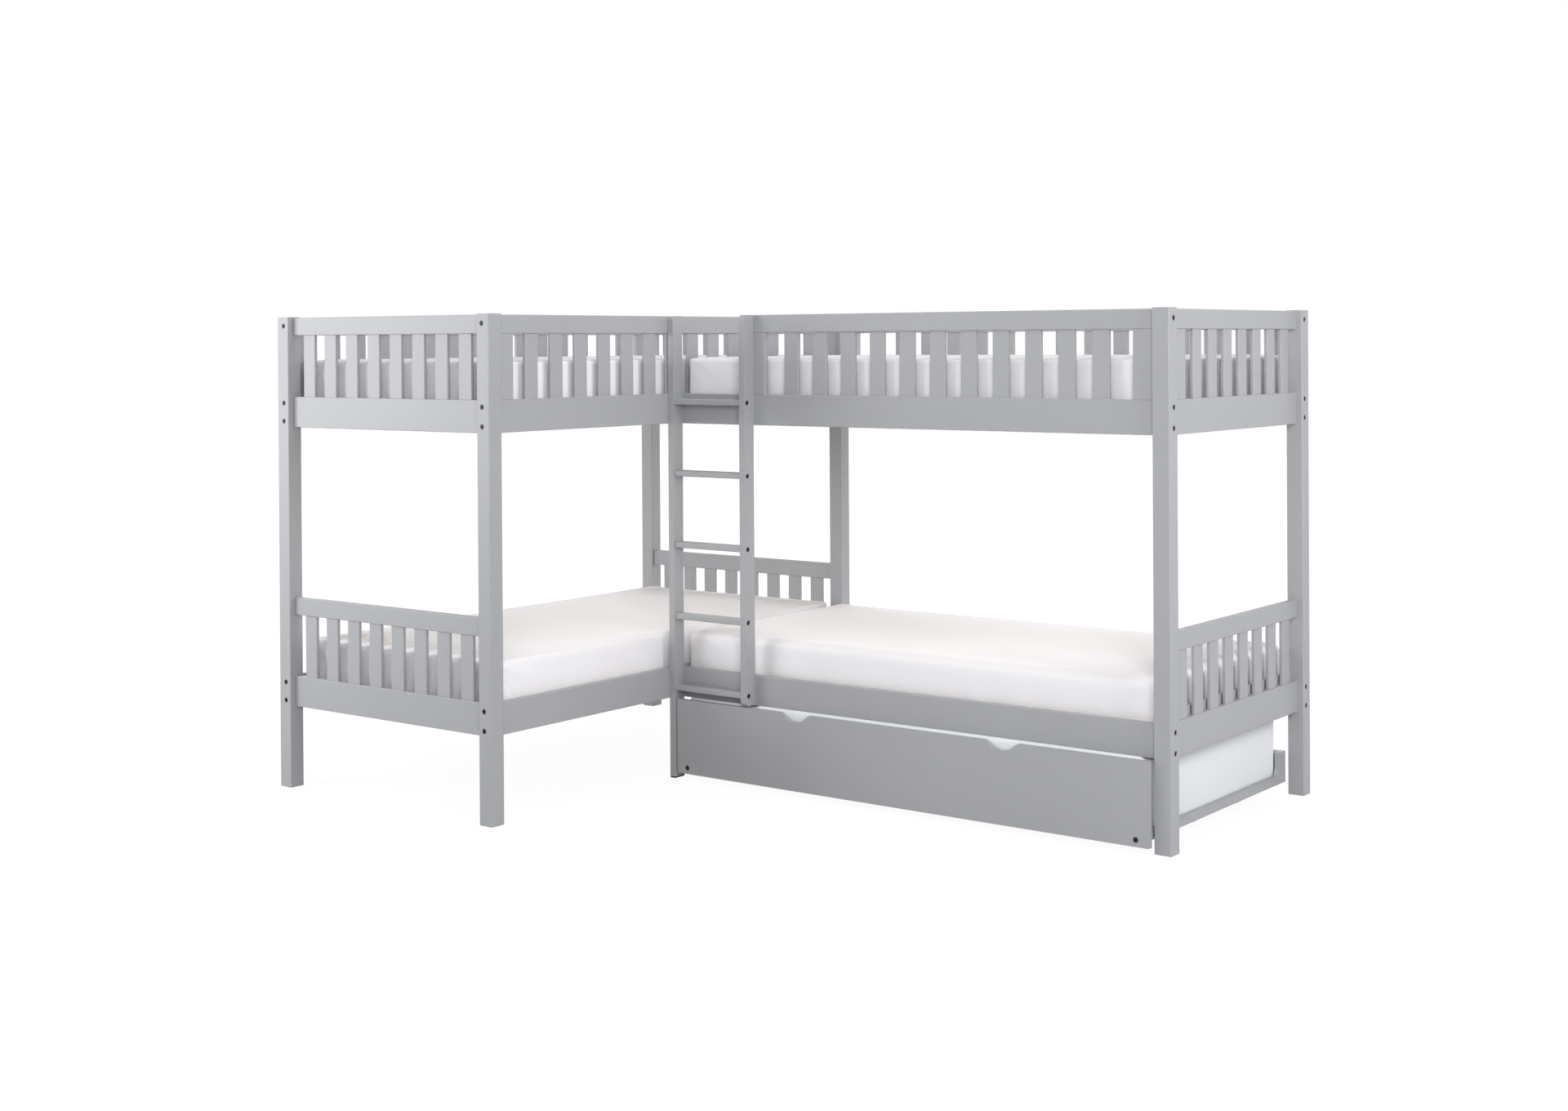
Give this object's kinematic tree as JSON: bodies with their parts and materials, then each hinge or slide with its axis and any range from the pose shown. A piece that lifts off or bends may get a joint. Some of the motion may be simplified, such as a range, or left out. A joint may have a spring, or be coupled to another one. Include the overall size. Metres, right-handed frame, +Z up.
{
  "type": "l shaped bunk bed",
  "caption": "Corner bunk bed in painted wood: two bunk units at a right angle, slatted end panels and guards, a ladder, and a rolling trundle bed under the right unit.",
  "frame": {"origin": "on the floor, under the middle of the whole bed's box", "axes": "+X right along the right unit, +Y back along the left unit, +Z up"},
  "size_m": [3.003, 2, 1.664],
  "materials": {
    "grey_paint": "cool light grey satin paint over planed wood",
    "plain_pine": "planed, unfinished pine",
    "white_sheet": "white fitted cotton sheet over a foam mattress",
    "dark_bolt_steel": "black zinc plated socket-head bolts",
    "zinc_steel": "bright zinc plate",
    "black_plastic": "moulded matte nylon"
  },
  "bodies": {
    "bunk_frame": {"left_front_post": "grey_paint", "inner_front_post": "grey_paint", "left_back_post": "grey_paint", "middle_back_post": "grey_paint", "right_front_post": "grey_paint", "right_back_post": "grey_paint", "front_panel_top_rails": "grey_paint", "back_panel_top_rails": "grey_paint", "right_panel_top_rails": "grey_paint", "front_panel_bottom_rails": "grey_paint", "back_panel_bottom_rails": "grey_paint", "right_panel_bottom_rails": "grey_paint", "front_panel_slats": "grey_paint", "back_panel_slats": "grey_paint", "right_panel_slats": "grey_paint", "left_guard_top_rail": "grey_paint", "inner_guard_top_rail": "grey_paint", "back_guard_top_rail": "grey_paint", "ladder_side_guard_top_rail": "grey_paint", "left_guard_slats": "grey_paint", "inner_guard_slats": "grey_paint", "back_guard_slats": "grey_paint", "ladder_side_guard_slats": "grey_paint", "left_upper_side_rail": "grey_paint", "inner_upper_side_rail": "grey_paint", "back_upper_side_rail": "grey_paint", "front_upper_side_rail": "grey_paint", "left_lower_side_rail": "grey_paint", "inner_lower_side_rail": "grey_paint", "back_lower_side_rail": "grey_paint", "front_lower_side_rail": "grey_paint", "support_cleats": "plain_pine", "left_upper_bed_slats": "plain_pine", "left_lower_bed_slats": "plain_pine", "right_upper_bed_slats": "plain_pine", "right_lower_bed_slats": "plain_pine", "low_end_board": "grey_paint", "ladder_left_stile": "grey_paint", "ladder_right_stile": "grey_paint", "ladder_rungs": "grey_paint", "ladder_foot_pad": "black_plastic", "frame_bolts": "dark_bolt_steel", "barrel_nuts": "zinc_steel", "corner_brackets": "zinc_steel", "left_upper_mattress": "white_sheet", "left_lower_mattress": "white_sheet", "right_upper_mattress": "white_sheet", "right_lower_mattress": "white_sheet"},
    "trundle": {"trundle_front_panel": "grey_paint", "trundle_side_boards": "grey_paint", "trundle_back_board": "grey_paint", "trundle_bearers": "plain_pine", "trundle_slats": "plain_pine", "trundle_bolts": "dark_bolt_steel", "caster_forks": "zinc_steel", "trundle_mattress": "white_sheet"},
    "left_front_wheel": {"left_front_wheel": "black_plastic"},
    "left_back_wheel": {"left_back_wheel": "black_plastic"},
    "right_front_wheel": {"right_front_wheel": "black_plastic"},
    "right_back_wheel": {"right_back_wheel": "black_plastic"}
  },
  "joints": [
    {"name": "trundle_slide", "type": "slide", "parent": "bunk_frame", "child": "trundle", "axis": [0, -1, 0], "range_m": [0, 0.9]},
    {"name": "left_front_wheel_roll", "type": "hinge", "parent": "trundle", "child": "left_front_wheel", "pos_m": [-0.3375, 0.02, 0.023], "axis": [1, 0, 0], "range_deg": [0, 2248]},
    {"name": "left_back_wheel_roll", "type": "hinge", "parent": "trundle", "child": "left_back_wheel", "pos_m": [-0.3375, 0.83, 0.023], "axis": [1, 0, 0], "range_deg": [0, 2248]},
    {"name": "right_front_wheel_roll", "type": "hinge", "parent": "trundle", "child": "right_front_wheel", "pos_m": [1.3455, 0.02, 0.023], "axis": [1, 0, 0], "range_deg": [0, 2248]},
    {"name": "right_back_wheel_roll", "type": "hinge", "parent": "trundle", "child": "right_back_wheel", "pos_m": [1.3455, 0.83, 0.023], "axis": [1, 0, 0], "range_deg": [0, 2248]}
  ],
  "couplings": [
    {"joint": "left_front_wheel_roll", "follows": "trundle_slide", "rad_per_m": 43.478},
    {"joint": "left_back_wheel_roll", "follows": "trundle_slide", "rad_per_m": 43.478},
    {"joint": "right_front_wheel_roll", "follows": "trundle_slide", "rad_per_m": 43.478},
    {"joint": "right_back_wheel_roll", "follows": "trundle_slide", "rad_per_m": 43.478}
  ]
}
